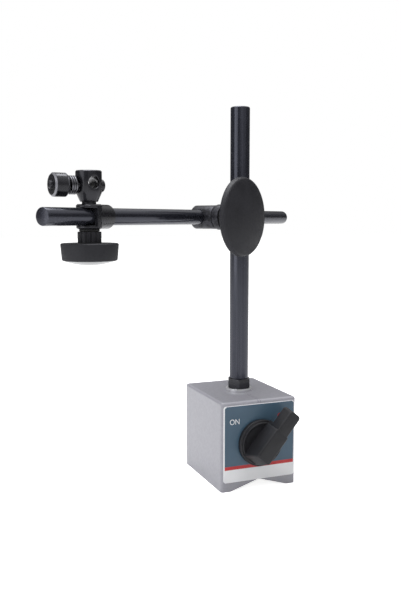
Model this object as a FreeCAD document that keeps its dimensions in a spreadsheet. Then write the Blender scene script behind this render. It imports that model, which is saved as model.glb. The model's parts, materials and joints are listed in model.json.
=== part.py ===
import FreeCAD, Part
import Sketcher
import math
import os
import re

# A magnetic stand for a dial indicator: a switchable magnet block, a round
# post, a swivel clamp, a cross arm and a stem holder on the arm.
# Origin: middle of the block's bottom face. +Z up, the switch faces -Y.

doc = FreeCAD.newDocument("indicator_stand")
sheet = doc.addObject("Spreadsheet::Sheet", "Sizes")

sizes = {
    # magnet block
    "base_width": 50.0,
    "base_depth": 60.0,
    "base_height": 55.0,
    "base_round": 1.6,
    "bore_height": 29.0,
    "bore_radius": 16.0,
    "groove_half": 19.0,
    "groove_rise": 5.8,
    "seam_width": 1.5,
    "stud_radius": 4.0,
    "stud_depth": 8.0,
    "turn_gap": 0.06,
    # front label, rear cover and the screws that hold it
    "plate_width": 47.6,
    "plate_height": 47.0,
    "plate_bottom": 5.8,
    "plate_thick": 0.8,
    "plate_corner": 2.0,
    "cover_thick": 1.0,
    "screw_radius": 1.5,
    "screw_length": 7.0,
    "screw_head_radius": 2.7,
    "screw_head_height": 1.6,
    "screw_inset": 4.6,
    "screw_slot": 0.8,
    # rotor
    "rotor_radius": 15.94,
    "rotor_half": 25.0,
    "magnet_thick": 12.0,
    "flange_radius": 12.0,
    "flange_thick": 3.0,
    "bush_thick": 1.8,
    "shaft_radius": 4.0,
    "shaft_reach": 12.0,
    "tail_radius": 3.0,
    "stop_radius": 1.25,
    "stop_orbit": 8.6,
    "stop_slot": 1.6,
    # switch knob
    "knob_gap": 0.3,
    "skirt_radius": 14.3,
    "skirt_thick": 2.6,
    "crown_radius": 13.2,
    "crown_thick": 1.6,
    "fin_height": 11.8,
    "fin_foot_half": 6.0,
    "fin_top_half": 5.0,
    "fin_reach": 26.2,
    "fin_back": 12.6,
    "fin_heel": 4.6,
    "fin_clear": 6.8,
    "hub_end": 12.0,
    "tip_foot_half": 4.7,
    "tip_top_half": 4.1,
    "fin_edge": 0.9,
    "lever_angle": 50.0,
    "grub_radius": 1.5,
    "grub_length": 5.0,
    # post, its lock nut and washer
    "post_radius": 6.0,
    "post_top": 232.6,
    "post_chamfer": 0.9,
    "washer_radius": 8.3,
    "washer_thick": 1.6,
    "nut_across": 13.4,
    "nut_height": 6.2,
    "nut_chamfer": 0.7,
    # swivel clamp, in a frame turned about Z by arm_yaw
    "arm_yaw": 33.65,
    "arm_height": 165.1,
    "bolt_offset": 15.05,
    "arm_offset": 16.9,
    "barrel_radius": 8.2,
    "barrel_half": 8.0,
    "lug_radius": 7.3,
    "lug_front": 8.1,
    "lug_back": 0.9,
    "lug_slit": 1.2,
    "bolt_radius": 4.0,
    "eye_radius": 5.9,
    "eye_start": 10.5,
    "eye_end": 22.9,
    "sleeve_radius": 7.25,
    "sleeve_start": 6.9,
    "sleeve_end": 23.3,
    "sleeve_neck": 6.6,
    "sleeve_chamfer": 1.2,
    "ring_radius": 7.75,
    "ring_start": 1.8,
    "ring_end": 6.0,
    "spacer_radius": 6.9,
    "spacer_gap": 0.02,
    # clamp knob
    "grip_radius": 24.2,
    "grip_back": 8.6,
    "grip_rim_back": 10.0,
    "grip_rim_front": 13.8,
    "grip_crown": 16.8,
    "grip_edge": 1.6,
    "grip_taper": 0.8,
    "insert_radius": 6.0,
    "insert_end": 14.4,
    # arm
    "arm_radius": 4.5,
    "arm_left": 151.1,
    "arm_right": 87.7,
    "arm_chamfer": 0.5,
    "arm_nose": 1.4,
    # stem holder: its upright axis stands holder_reach along the arm
    "holder_reach": 118.7,
    "boss_radius": 6.6,
    "boss_half": 6.3,
    "boss_chamfer": 0.7,
    "snug_radius": 6.25,
    "snug_length": 14.0,
    "snug_chamfer": 0.8,
    "snug_start": -0.8,
    "tie_radius": 5.3,
    "tie_end": 7.4,
    "tie_thread": 3.0,
    "neck_radius": 3.6,
    "neck_top": 7.4,
    "spigot_radius": 2.5,
    "spigot_top": 12.0,
    "seat_radius": 5.2,
    "hub_radius": 6.05,
    "hub_top": 7.6,
    "hub_bottom": 13.4,
    "flute_count": 12.0,
    "flute_radius": 0.7,
    "cap_radius": 14.9,
    "cap_foot_radius": 14.1,
    "cap_foot": 22.4,
    "cap_dome": 24.8,
    "cap_edge": 0.9,
    "cap_insert": 4.6,
    # stem holder head, in a frame turned about its upright axis by head_yaw
    "head_yaw": 12.5,
    "head_radius": 6.65,
    "head_cone": 11.7,
    "head_top": 23.2,
    "head_edge": 0.5,
    "stem_height": 17.1,
    "stem_radius": 3.0,
    "draw_height": 15.7,
    "draw_radius": 3.2,
    "draw_thread": 2.0,
    "draw_shoulder": 5.4,
    "draw_button": 8.0,
    "draw_tip": 21.7,
    "coil_radius": 4.25,
    "coil_wire": 0.5,
    "coil_pitch": 1.62,
    "coil_start": 6.8,
    "coil_length": 5.2,
    "thumb_start": 12.3,
    "thumb_end": 20.2,
    "thumb_radius": 5.95,
    "thumb_chamfer": 0.8,
}

for row, (alias, value) in enumerate(sizes.items(), start=1):
    sheet.set("A%d" % row, alias)
    sheet.set("B%d" % row, str(value))
    sheet.setAlias("B%d" % row, alias)
doc.recompute()

nodes = {}
x_axis = FreeCAD.Vector(1, 0, 0)
y_axis = FreeCAD.Vector(0, 1, 0)
z_axis = FreeCAD.Vector(0, 0, 1)
# turns that lay a solid's own Z axis along a row axis
lie = {
    "+z": FreeCAD.Rotation(z_axis, 0),
    "-z": FreeCAD.Rotation(x_axis, 180),
    "+y": FreeCAD.Rotation(x_axis, -90),
    "-y": FreeCAD.Rotation(x_axis, 90),
    "+x": FreeCAD.Rotation(y_axis, 90),
    "-x": FreeCAD.Rotation(y_axis, -90),
}


def formula(text):
    # put the sheet's name before each alias
    return re.sub(r"[a-z]+_[a-z_]+", lambda word: "Sizes." + word.group(0), str(text))


def number(text):
    return float(sheet.evalExpression(formula(text)))


def bind(item, **cells):
    for name, text in cells.items():
        item.setExpression(name, formula(text))


def place(item, corner, along="+z"):
    item.Placement = FreeCAD.Placement(FreeCAD.Vector(), lie[along])
    for letter, text in zip("xyz", corner):
        item.setExpression("Placement.Base." + letter, formula(text))


def box(name, length, width, height, corner):
    item = doc.addObject("Part::Box", name)
    bind(item, Length=length, Width=width, Height=height)
    place(item, corner)
    return item


def rod(name, radius, length, foot=("0", "0", "0"), along="+z"):
    item = doc.addObject("Part::Cylinder", name)
    bind(item, Radius=radius, Height=length)
    place(item, foot, along)
    return item


def hexagon(name, across, height, foot, along="+z"):
    item = doc.addObject("Part::Prism", name)
    item.Polygon = 6
    bind(item, Circumradius="(%s) / sqrt(3)" % across, Height=height)
    place(item, foot, along)
    return item


def fuse(name, *pieces):
    item = doc.addObject("Part::MultiFuse", name)
    item.Shapes = list(pieces)
    return item


def cut(name, base, *tools):
    item = doc.addObject("Part::Cut", name)
    item.Base = base
    item.Tool = tools[0] if len(tools) == 1 else fuse(name + "_tools", *tools)
    return item


def common(name, base, tool):
    item = doc.addObject("Part::Common", name)
    item.Base = base
    item.Tool = tool
    return item


def soften(name, base, radius, wanted):
    # round those edges of base that wanted(edge) picks
    doc.recompute()
    item = doc.addObject("Part::Fillet", name)
    item.Base = base
    picked = [i for i, edge in enumerate(base.Shape.Edges, start=1) if wanted(edge)]
    item.Edges = [(i, number(radius), number(radius)) for i in picked]
    return item


def draw(sketch, points, arcs):
    # a closed outline: each corner is held by two dimensions bound to the sheet
    spots = [FreeCAD.Vector(number(a), number(b), 0) for a, b in points]
    starts = []
    for i, spot in enumerate(spots):
        follow = spots[(i + 1) % len(spots)]
        if i not in arcs:
            sketch.addGeometry(Part.LineSegment(spot, follow))
            starts.append((1, 2))
            continue
        radius = number(arcs[i])
        middle = (spot + follow) / 2
        chord = follow - spot
        side = FreeCAD.Vector(chord.y, -chord.x, 0).normalize()
        sag = abs(radius) - math.sqrt(radius ** 2 - (chord.Length / 2) ** 2)
        crest = middle + side * math.copysign(sag, radius)
        sketch.addGeometry(Part.Arc(spot, crest, follow))
        first = sketch.getPoint(i, 1)
        starts.append((1, 2) if first.distanceToPoint(spot) < 1e-6 else (2, 1))
    for i, (a, b) in enumerate(points):
        start = starts[i][0]
        before = (i - 1) % len(points)
        sketch.addConstraint(Sketcher.Constraint("Coincident", before, starts[before][1], i, start))
        for kind, own_axis, text in (("DistanceX", -2, a), ("DistanceY", -1, b)):
            if text == "0":
                sketch.addConstraint(Sketcher.Constraint("PointOnObject", i, start, own_axis))
                continue
            held = Sketcher.Constraint(kind, -1, 1, i, start, number(text))
            index = sketch.addConstraint(held)
            sketch.setExpression("Constraints[%d]" % index, formula(text))
    for i, text in arcs.items():
        held = Sketcher.Constraint("Radius", i, abs(number(text)))
        index = sketch.addConstraint(held)
        sketch.setExpression("Constraints[%d]" % index, formula("abs(%s)" % text))


def ball(half_width, rise):
    # radius of the ball whose cap is this wide and this high
    return "(((%s) ^ 2 + (%s) ^ 2) / (2 * (%s)))" % (half_width, rise, rise)


def new_body(name, points, arcs):
    body = doc.addObject("PartDesign::Body", name)
    sketch = body.newObject("Sketcher::SketchObject", name + "_outline")
    planes = body.Origin.OriginFeatures
    upright = [plane for plane in planes if plane.Role == "XZ_Plane"][0]
    sketch.AttachmentSupport = (upright, [""])
    sketch.MapMode = "FlatFace"
    doc.recompute()
    draw(sketch, points, arcs or {})
    return body, sketch


def turned(name, points, arcs=None):
    # a lathe part: (radius, height) corners spun about the body's own Z axis
    body, sketch = new_body(name, points, arcs)
    feature = body.newObject("PartDesign::Revolution", name + "_turning")
    feature.Profile = sketch
    feature.ReferenceAxis = (sketch, ["V_Axis"])
    feature.Angle = 360
    return body


def padded(name, points, depth, arcs=None):
    # a bar: (x, z) corners drawn in the upright plane, half its depth each way
    body, sketch = new_body(name, points, arcs)
    feature = body.newObject("PartDesign::Pad", name + "_pad")
    feature.Profile = sketch
    feature.SideType = "Symmetric"
    bind(feature, Length=depth)
    return body


def keep(node, item, turn=None):
    # name a finished sub-part and give it its place
    item.Label = node
    nodes[node] = item
    if turn is not None:
        item.Placement = turn
    return item


# ---------------------------------------------------------------- magnet block
blank = box("block_blank", "base_width", "base_depth", "base_height",
            ("-base_width / 2", "-base_depth / 2", "0"))


def outer_edge(edge):
    # every edge of the blank but those round the bottom face
    return edge.BoundBox.ZMax > number("base_round")


rounded = soften("block_rounded", blank, "base_round", outer_edge)
bore = rod("rotor_bore", "bore_radius", "base_depth + 2",
           ("0", "-base_depth / 2 - 1", "bore_height"), "+y")
groove = padded("foot_groove",
                [("-groove_half - groove_half / groove_rise", "-1"),
                 ("groove_half + groove_half / groove_rise", "-1"),
                 ("0", "groove_rise")], "base_depth + 2")
stud_hole = rod("stud_hole", "stud_radius + turn_gap", "stud_depth + 1",
                ("0", "0", "base_height - stud_depth"))
cover_holes = []
for side, x_sign in (("left", "-"), ("right", "")):
    for level, z_place in (("low", "plate_bottom + screw_inset"),
                           ("high", "plate_bottom + plate_height - screw_inset")):
        x_place = x_sign + "(plate_width / 2 - screw_inset)"
        cover_holes.append(rod("hole_%s_%s" % (side, level), "screw_radius", "screw_length + 1",
                               (x_place, "base_depth / 2 - screw_length", z_place), "+y"))
block = cut("block", rounded, bore, groove, stud_hole, *cover_holes)
for node, x_start in (("pole_block_right", "seam_width / 2"),
                      ("pole_block_left", "-seam_width / 2 - base_width")):
    region = box(node + "_region", "base_width", "base_depth + 2", "base_height + 2",
                 (x_start, "-base_depth / 2 - 1", "-1"))
    keep(node, common(node + "_cut", block, region))
for node, z_start in (("separator_top", "bore_height"), ("separator_bottom", "bore_height - 50")):
    region = box(node + "_region", "seam_width", "base_depth + 2", "50",
                 ("-seam_width / 2", "-base_depth / 2 - 1", z_start))
    keep(node, common(node + "_cut", block, region))


# ------------------------------------------------------- front label, rear cover
def plate(name, thick, y_start, hole_radius):
    blank = box(name + "_blank", "plate_width", thick, "plate_height",
                ("-plate_width / 2", y_start, "plate_bottom"))
    rounded = soften(name + "_rounded", blank, "plate_corner",
                     lambda edge: edge.BoundBox.YLength > 1e-3)
    hole = rod(name + "_hole", hole_radius, "base_depth", ("0", y_start + " - 5", "bore_height"), "+y")
    return rounded, hole


front, shaft_hole = plate("label", "plate_thick", "-base_depth / 2 - plate_thick", "shaft_radius + 1")
keep("label_plate", cut("label_cut", front, shaft_hole))
rear, tail_hole = plate("cover", "cover_thick", "base_depth / 2", "tail_radius + 0.5")
keep("rear_cover", cut("cover_cut", rear, tail_hole, *cover_holes))

screws = []
for hole in cover_holes:
    tag = hole.Name.replace("hole", "screw")
    body = turned(tag, [("0", "0"), ("screw_radius", "0"),
                        ("screw_radius", "screw_length + cover_thick"),
                        ("screw_head_radius", "screw_length + cover_thick"),
                        ("screw_head_radius", "screw_length + cover_thick + screw_head_height * 0.6"),
                        ("screw_head_radius * 0.6", "screw_length + cover_thick + screw_head_height"),
                        ("0", "screw_length + cover_thick + screw_head_height")])
    slot = box(tag + "_slot", "3 * screw_head_radius", "screw_slot", "screw_slot",
               ("-1.5 * screw_head_radius", "-screw_slot / 2",
                "screw_length + cover_thick + screw_head_height - screw_slot"))
    screw = cut(tag + "_cut", body, slot)
    screw.Placement = FreeCAD.Placement(FreeCAD.Vector(), lie["+y"])
    for letter in "xyz":
        screw.setExpression("Placement.Base." + letter, "%s.Placement.Base.%s" % (hole.Name, letter))
    screws.append(screw)
keep("rear_cover_screws", doc.addObject("Part::Compound", "cover_screw_set")).Links = screws

# ----------------------------------------------------------------------- rotor
# The rotor's parts lie along -Y from the middle of the block.
axle = ("0", "0", "bore_height")
drum = rod("rotor_drum", "rotor_radius", "2 * rotor_half", ("0", "-rotor_half", "bore_height"), "+y")
for node, z_start, z_size in (("rotor_magnet", "bore_height - magnet_thick / 2", "magnet_thick"),
                              ("rotor_pole_upper", "bore_height + magnet_thick / 2", "bore_radius"),
                              ("rotor_pole_lower", "bore_height - magnet_thick / 2 - bore_radius",
                               "bore_radius")):
    region = box(node + "_region", "2 * bore_radius", "2 * rotor_half + 2", z_size,
                 ("-bore_radius", "-rotor_half - 1", z_start))
    keep(node, common(node + "_cut", drum, region))

shaft_end = "base_depth / 2 + shaft_reach"
drive = turned("drive", [("0", "rotor_half"), ("flange_radius", "rotor_half"),
                         ("flange_radius", "rotor_half + flange_thick"),
                         ("shaft_radius", "rotor_half + flange_thick"),
                         ("shaft_radius", shaft_end + " - 0.5"),
                         ("shaft_radius - 0.5", shaft_end), ("0", shaft_end)])
place(drive, axle, "-y")
pin_place = ("stop_orbit * cos(lever_angle + 180)", "-rotor_half - flange_thick / 3",
             "bore_height + stop_orbit * sin(lever_angle + 180)")
pin_hole = rod("stop_hole", "stop_radius", "flange_thick", pin_place, "-y")
keep("drive_shaft", cut("drive_cut", drive, pin_hole))
keep("stop_pin", rod("stop", "stop_radius", "flange_thick * 2 / 3 + bush_thick * 0.8",
                     pin_place, "-y"))
tail = turned("tail", [("0", "rotor_half"), ("flange_radius", "rotor_half"),
                       ("flange_radius", "rotor_half + flange_thick"),
                       ("tail_radius", "rotor_half + flange_thick"),
                       ("tail_radius", "base_depth / 2 - 0.2"), ("0", "base_depth / 2 - 0.2")])
place(tail, axle, "+y")
keep("tail_shaft", tail)

# bushes at both ends of the bore; the front one has the slot for the stop pin
rear_bush = turned("rear_bearing", [("tail_radius + turn_gap", "base_depth / 2 - bush_thick"),
                                    ("bore_radius", "base_depth / 2 - bush_thick"),
                                    ("bore_radius", "base_depth / 2"),
                                    ("tail_radius + turn_gap", "base_depth / 2")])
place(rear_bush, axle, "+y")
keep("rear_bush", rear_bush)
front_ring = turned("front_bearing", [("shaft_radius + turn_gap", "base_depth / 2 - bush_thick"),
                                      ("bore_radius", "base_depth / 2 - bush_thick"),
                                      ("bore_radius", "base_depth / 2"),
                                      ("shaft_radius + turn_gap", "base_depth / 2")])
place(front_ring, axle, "-y")
slot_foot = ("0", "-base_depth / 2 - 1", "bore_height")
slot_outer = rod("slot_outer", "stop_orbit + stop_slot", "bush_thick + 2", slot_foot, "+y")
slot_inner = rod("slot_inner", "stop_orbit - stop_slot", "bush_thick + 2", slot_foot, "+y")
# the pin's travel is a quarter turn, seen from the switch side counter-clockwise
slot_margin = 16.0
for item, spare in ((slot_outer, slot_margin), (slot_inner, 0)):
    item.Angle = 90 + 2 * slot_margin if spare else 360
slot_turn = number("lever_angle") + 180 - slot_margin
slot_outer.Placement.Rotation = FreeCAD.Rotation(y_axis, -slot_turn - slot_outer.Angle.Value) * lie["+y"]
stop_track = cut("stop_track", slot_outer, slot_inner)
keep("front_bush", cut("front_bush_cut", front_ring, stop_track))

# ----------------------------------------------------------------- switch knob
# Drawn lying on its back with the lever along +X, then stood up and turned.
knob_back = "base_depth / 2 + plate_thick + knob_gap"
skirt = turned("skirt", [("0", "0"), ("skirt_radius", "0"), ("skirt_radius", "skirt_thick - 0.4"),
                         ("skirt_radius - 0.4", "skirt_thick"), ("crown_radius", "skirt_thick"),
                         ("crown_radius", "skirt_thick + crown_thick - 0.4"),
                         ("crown_radius - 0.4", "skirt_thick + crown_thick"),
                         ("0", "skirt_thick + crown_thick")])


def wedge(name, back, front, top_back, top_front, foot_half, top_half):
    # a drafted bar, drawn with its height along Y and rounded all over but the foot
    item = doc.addObject("Part::Wedge", name + "_blank")
    bind(item, Xmin=back, Xmax=front, X2min=top_back, X2max=top_front,
         Ymin="0", Ymax="skirt_thick + crown_thick + fin_height",
         Zmin="-(%s)" % foot_half, Zmax=foot_half, Z2min="-(%s)" % top_half, Z2max=top_half)
    rounded = soften(name, item, "fin_edge", lambda edge: edge.BoundBox.YMax > number("skirt_thick"))
    rounded.Placement = FreeCAD.Placement(FreeCAD.Vector(), lie["-y"])
    return rounded


hub_bar = wedge("hub_bar", "-fin_back", "hub_end", "-fin_back + fin_heel", "hub_end - 0.6",
                "fin_foot_half", "fin_top_half")
tip_bar = wedge("tip_bar", "-fin_edge", "fin_reach", "-fin_edge", "fin_reach - 0.8",
                "tip_foot_half", "tip_top_half")
# the lever's outer end hangs clear of the label
under = box("fin_under", "fin_reach", "4 * fin_foot_half", "fin_clear + 1",
            ("skirt_radius + 0.05", "-2 * fin_foot_half", "-1"))
knob_solid = fuse("knob_solid", skirt, hub_bar, tip_bar)
socket = rod("knob_socket", "shaft_radius", shaft_end + " - " + knob_back.replace("+", "-"),
             ("0", "0", "0"))
grub_hole = rod("grub_hole", "grub_radius", "skirt_radius", ("0", "0", "(skirt_thick + crown_thick) / 2"), "-y")
knob = cut("knob_cut", knob_solid, under, socket, grub_hole)
grub = rod("grub", "grub_radius", "grub_length",
           ("0", "-shaft_radius", "(skirt_thick + crown_thick) / 2"), "-y")
grub_key = hexagon("grub_key", "grub_radius", "1.5",
                   ("0", "-shaft_radius - grub_length + 1.4", "(skirt_thick + crown_thick) / 2"), "-y")
grub_screw = cut("grub_cut", grub, grub_key)
stand_up = FreeCAD.Rotation(y_axis, -number("lever_angle")) * lie["-y"]
knob_place = FreeCAD.Placement(
    FreeCAD.Vector(0, -number(knob_back), number("bore_height")), stand_up)
keep("switch_knob", knob, knob_place)
keep("knob_grub_screw", grub_screw, knob_place)

# ------------------------------------------------------- post, lock nut, washer
nut_foot = "base_height + washer_thick"
post_foot = nut_foot + " + nut_height"
keep("post", turned("post_rod", [("0", "base_height - stud_depth + 0.4"),
                                 ("stud_radius - 0.6", "base_height - stud_depth + 0.4"),
                                 ("stud_radius", "base_height - stud_depth + 1"),
                                 ("stud_radius", post_foot), ("post_radius - 0.4", post_foot),
                                 ("post_radius", post_foot + " + 0.4"),
                                 ("post_radius", "post_top - post_chamfer"),
                                 ("post_radius - post_chamfer", "post_top"), ("0", "post_top")]))
nut_hex = hexagon("nut_hex", "nut_across", "nut_height", ("0", "0", nut_foot))
nut_corner = "nut_across / sqrt(3)"
nut_turned = turned("nut_turned", [("stud_radius", nut_foot), ("nut_across / 2 - 0.1", nut_foot),
                                   (nut_corner, nut_foot + " + nut_chamfer"),
                                   (nut_corner, nut_foot + " + nut_height - nut_chamfer"),
                                   ("nut_across / 2 - 0.1", nut_foot + " + nut_height"),
                                   ("stud_radius", nut_foot + " + nut_height")])
nut = common("nut_common", nut_hex, nut_turned)
keep("lock_nut", nut, FreeCAD.Placement(FreeCAD.Vector(), FreeCAD.Rotation(z_axis, 8)))
keep("foot_washer", turned("washer", [("stud_radius + 0.2", "base_height"),
                                      ("washer_radius", "base_height"),
                                      ("washer_radius", nut_foot + " - 0.2"),
                                      ("washer_radius - 0.2", nut_foot),
                                      ("stud_radius + 0.2", nut_foot)]))

# ---------------------------------------------------------------- swivel clamp
# Local frame: +X along the arm, -Y towards the clamp knob, turned by arm_yaw.
clamp_turn = FreeCAD.Placement(FreeCAD.Vector(), FreeCAD.Rotation(z_axis, number("arm_yaw")))
bolt_foot = ("-bolt_offset", "0", "arm_height")
post_bore = rod("post_bore", "post_radius + turn_gap", "4 * barrel_half",
                ("0", "0", "arm_height - 2 * barrel_half"))
barrel = turned("barrel", [("0", "-barrel_half"), ("barrel_radius - 0.8", "-barrel_half"),
                           ("barrel_radius", "-barrel_half + 0.8"),
                           ("barrel_radius", "barrel_half - 0.8"),
                           ("barrel_radius - 0.8", "barrel_half"), ("0", "barrel_half")])
place(barrel, ("0", "0", "arm_height"))
lug = turned("lug", [("0", "-lug_back"), ("lug_radius - 0.5", "-lug_back"),
                     ("lug_radius", "-lug_back + 0.5"), ("lug_radius", "lug_front - 0.5"),
                     ("lug_radius - 0.5", "lug_front"), ("0", "lug_front")])
place(lug, bolt_foot, "-y")
bridge = box("bridge", "bolt_offset", "lug_front + lug_back", "2 * lug_radius",
             ("-bolt_offset", "-lug_front", "arm_height - lug_radius"))
bolt_way = rod("bolt_way", "bolt_radius + turn_gap", "60", ("-bolt_offset", "-30", "arm_height"), "+y")
slit = box("lug_saw_cut", "bolt_offset + lug_radius + 5", "lug_slit", "4 * barrel_half",
           ("-bolt_offset - lug_radius - 5", "-(lug_front - lug_back + lug_slit) / 2",
            "arm_height - 2 * barrel_half"))
ring_way = rod("ring_way", "ring_radius + 0.3", "4 * barrel_half",
               ("-bolt_offset", "lug_back", "arm_height"), "+y")
clamp_solid = fuse("clamp_solid", barrel, lug, bridge)
keep("post_clamp", cut("post_clamp_cut", clamp_solid, post_bore, bolt_way, slit, ring_way), clamp_turn)

# eye bolt: its thick end has the cross hole for the arm
eye_bolt = turned("eye", [("0", "-insert_end + 1"), ("bolt_radius - 0.6", "-insert_end + 1"),
                          ("bolt_radius", "-insert_end + 1.6"),
                          ("bolt_radius", "eye_start"), ("eye_radius", "eye_start"),
                          ("eye_radius", "eye_end - 0.6"), ("eye_radius - 0.6", "eye_end"),
                          ("0", "eye_end")])
place(eye_bolt, bolt_foot, "+y")
arm_way = rod("arm_way", "arm_radius + turn_gap", "80", ("-bolt_offset - 40", "arm_offset", "arm_height"), "+x")
arm_window = rod("arm_window", "arm_radius + 0.3", "80",
                 ("-bolt_offset - 40", "arm_offset", "arm_height"), "+x")
keep("clamp_bolt", cut("clamp_bolt_cut", eye_bolt, arm_way), clamp_turn)
sleeve = turned("sleeve", [("bolt_radius + 0.1", "ring_end"), ("sleeve_neck", "ring_end"),
                           ("sleeve_neck", "sleeve_start"), ("sleeve_radius - 0.3", "sleeve_start"),
                           ("sleeve_radius", "sleeve_start + 0.3"),
                           ("sleeve_radius", "sleeve_end - sleeve_chamfer"),
                           ("sleeve_radius - sleeve_chamfer * 0.8", "sleeve_end"),
                           ("eye_radius + 0.05", "sleeve_end"),
                           ("eye_radius + 0.05", "eye_start - 0.3"),
                           ("bolt_radius + 0.1", "eye_start - 0.3")])
place(sleeve, bolt_foot, "+y")
keep("arm_sleeve", cut("arm_sleeve_cut", sleeve, arm_window), clamp_turn)
for node, start, end, radius in (("friction_ring", "ring_start", "ring_end", "ring_radius"),
                                 ("spacer_washer", "lug_back + spacer_gap", "ring_start", "spacer_radius")):
    ring = turned(node + "_turned", [("bolt_radius + 0.1", start), (radius + " - 0.3", start),
                                     (radius, start + " + 0.3"), (radius, end + " - 0.3"),
                                     (radius + " - 0.3", end), ("bolt_radius + 0.1", end)])
    place(ring, bolt_foot, "+y")
    keep(node, cut(node + "_cut", ring, arm_way), clamp_turn)

# clamp knob: a smooth disc with a crowned face, moulded round a metal insert
grip = turned("grip", [("insert_radius", "grip_back"), ("insert_radius + 3", "grip_back"),
                       ("insert_radius + 4", "grip_rim_back"),
                       ("grip_radius - grip_edge", "grip_rim_back"),
                       ("grip_radius", "grip_rim_back + grip_edge"),
                       ("grip_radius - grip_taper", "grip_rim_front - grip_edge"),
                       ("grip_radius - grip_taper - grip_edge", "grip_rim_front"),
                       ("0", "grip_crown"), ("0", "insert_end"), ("insert_radius", "insert_end")],
              {3: "grip_edge", 5: "grip_edge",
               6: ball("grip_radius - grip_taper - grip_edge", "grip_crown - grip_rim_front")})
bolt_line = clamp_turn.multiply(FreeCAD.Placement(
    FreeCAD.Vector(-number("bolt_offset"), 0, number("arm_height")), lie["-y"]))
keep("clamp_knob", grip, bolt_line)
insert = turned("grip_insert", [("bolt_radius + turn_gap", "grip_back - 0.2"),
                                ("insert_radius", "grip_back - 0.2"), ("insert_radius", "insert_end"),
                                ("0", "insert_end"), ("0", "insert_end - 0.8"),
                                ("bolt_radius + turn_gap", "insert_end - 0.8")])
keep("clamp_knob_insert", insert, bolt_line)

# ------------------------------------------------------------------------- arm
arm = turned("arm", [("0", "-arm_left"), ("arm_radius - arm_chamfer", "-arm_left"),
                     ("arm_radius", "-arm_left + arm_chamfer"), ("arm_radius", "arm_right - arm_nose"),
                     ("arm_radius - arm_nose * 0.3", "arm_right - arm_nose * 0.4"),
                     ("arm_radius - arm_nose", "arm_right"), ("0", "arm_right")])
keep("arm_rod", arm, clamp_turn.multiply(FreeCAD.Placement(
    FreeCAD.Vector(0, number("arm_offset"), number("arm_height")), lie["+x"])))

# ----------------------------------------------------------------- stem holder
# Own frame: Z up through the tie bolt, origin on the arm's axis, +X along the arm.
holder_turn = clamp_turn.multiply(FreeCAD.Placement(
    FreeCAD.Vector(-number("holder_reach"), number("arm_offset"), number("arm_height")),
    FreeCAD.Rotation()))
boss = turned("boss", [("0", "-boss_half"), ("boss_radius - boss_chamfer", "-boss_half"),
                       ("boss_radius", "-boss_half + boss_chamfer"),
                       ("boss_radius", "boss_half - boss_chamfer"),
                       ("boss_radius - boss_chamfer", "boss_half"), ("0", "boss_half")])
tube = turned("snug_tube", [("0", "snug_start"), ("snug_radius - 0.4", "snug_start"),
                            ("snug_radius", "snug_start + 0.4"),
                            ("snug_radius", "snug_length - snug_chamfer"),
                            ("snug_radius - snug_chamfer", "snug_length"), ("0", "snug_length")])
place(tube, ("0", "0", "0"), "+x")
holder_bore = rod("holder_bore", "arm_radius + turn_gap", "80", ("-40", "0", "0"), "+x")
tie_bore = rod("tie_bore", "tie_radius + 0.05", "4 * boss_half", ("0", "0", "-2 * boss_half"))
# the upright parts are milled open in front of the arm, up to the tube
window = box("arm_window_front", "snug_start + 2 * boss_radius", "2 * boss_radius",
             "2 * (arm_radius + turn_gap)",
             ("-2 * boss_radius", "-2 * boss_radius", "-arm_radius - turn_gap"))
snug_solid = fuse("snug_solid", cut("boss_open", boss, window), tube)
keep("snug_sleeve", cut("snug_sleeve_cut", snug_solid, holder_bore, tie_bore), holder_turn)

tie = turned("tie", [("0", "-hub_bottom - 4"), ("tie_thread - 0.4", "-hub_bottom - 4"),
                     ("tie_thread", "-hub_bottom - 3.6"), ("tie_thread", "-boss_half"),
                     ("tie_radius", "-boss_half"), ("tie_radius", "boss_half"),
                     ("neck_radius", "boss_half"), ("neck_radius", "neck_top"),
                     ("spigot_radius", "neck_top"), ("spigot_radius", "spigot_top"),
                     ("0", "spigot_top")])
keep("tie_bolt", cut("tie_cut", tie, holder_bore, window), holder_turn)
keep("seat_washer", turned("seat", [("tie_thread + 0.1", "-hub_top + 0.1"), ("seat_radius", "-hub_top + 0.1"),
                                    ("seat_radius", "-boss_half"), ("tie_thread + 0.1", "-boss_half")]),
     holder_turn)

# holder knob: fluted hub, tapered rim and domed underside, round a metal insert
cap = turned("cap", [("cap_insert", "-hub_top"), ("hub_radius", "-hub_top"), ("hub_radius", "-hub_bottom"),
                     ("cap_radius - cap_edge", "-hub_bottom"), ("cap_radius", "-hub_bottom - cap_edge"),
                     ("cap_foot_radius", "-cap_foot + cap_edge"),
                     ("cap_foot_radius - cap_edge", "-cap_foot"), ("0", "-cap_dome"),
                     ("0", "-hub_bottom - 6"), ("cap_insert", "-hub_bottom - 6")],
             {3: "-cap_edge", 6: "-" + ball("cap_foot_radius - cap_edge", "cap_dome - cap_foot")})
flutes = []
for i in range(int(number("flute_count"))):
    angle = 360 / number("flute_count") * i
    flutes.append(rod("flute_%d" % i, "flute_radius", "hub_bottom - hub_top",
                      ("(hub_radius + 0.2) * cos(%s * 1deg)" % angle,
                       "(hub_radius + 0.2) * sin(%s * 1deg)" % angle, "-hub_bottom")))
keep("holder_knob", cut("holder_knob_cut", cap, *flutes), holder_turn)
keep("holder_knob_insert", turned("cap_bush", [("tie_thread + turn_gap", "-hub_top"), ("cap_insert", "-hub_top"),
                                               ("cap_insert", "-hub_bottom - 6"), ("0", "-hub_bottom - 6"),
                                               ("0", "-hub_bottom - 4.4"),
                                               ("tie_thread + turn_gap", "-hub_bottom - 4.4")]),
     holder_turn)

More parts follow.
